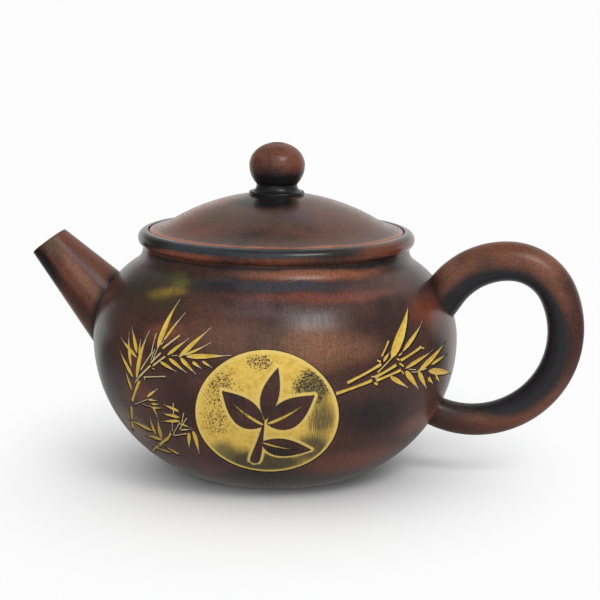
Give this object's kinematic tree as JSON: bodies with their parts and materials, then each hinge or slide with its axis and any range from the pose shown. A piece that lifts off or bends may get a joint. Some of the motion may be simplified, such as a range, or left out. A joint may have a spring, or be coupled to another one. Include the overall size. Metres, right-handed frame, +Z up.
{
  "type": "clay teapot",
  "caption": "Round unglazed clay teapot with a short straight spout, ring handle, inset domed lid with a ball knob, ball strainer and a gilt carved panel; pours tea.",
  "frame": {"origin": "on the pot axis, in the plane of the base rim on which the pot stands", "axes": "+Z up along the pot axis, +X towards the handle, -X towards the spout, -Y towards the carved panel"},
  "size_m": [0.1485, 0.0968, 0.0873],
  "materials": {
    "fired_clay": "satin",
    "gold_fill": "satin"
  },
  "bodies": {
    "pot": {"pot_wall": "fired_clay", "shoulder_slab": "fired_clay", "base_disc": "fired_clay", "mouth_ring": "fired_clay", "spout": "fired_clay", "ball_strainer": "fired_clay", "handle": "fired_clay", "medallion_fill": "gold_fill"},
    "lid": {"lid_disc": "fired_clay", "lid_flange": "fired_clay", "knob_collar": "fired_clay", "knob": "fired_clay"}
  },
  "joints": [
    {"name": "lid_lift", "type": "slide", "parent": "pot", "child": "lid", "axis": [0, 0, 1], "range_m": [0, 0.06]}
  ]
}
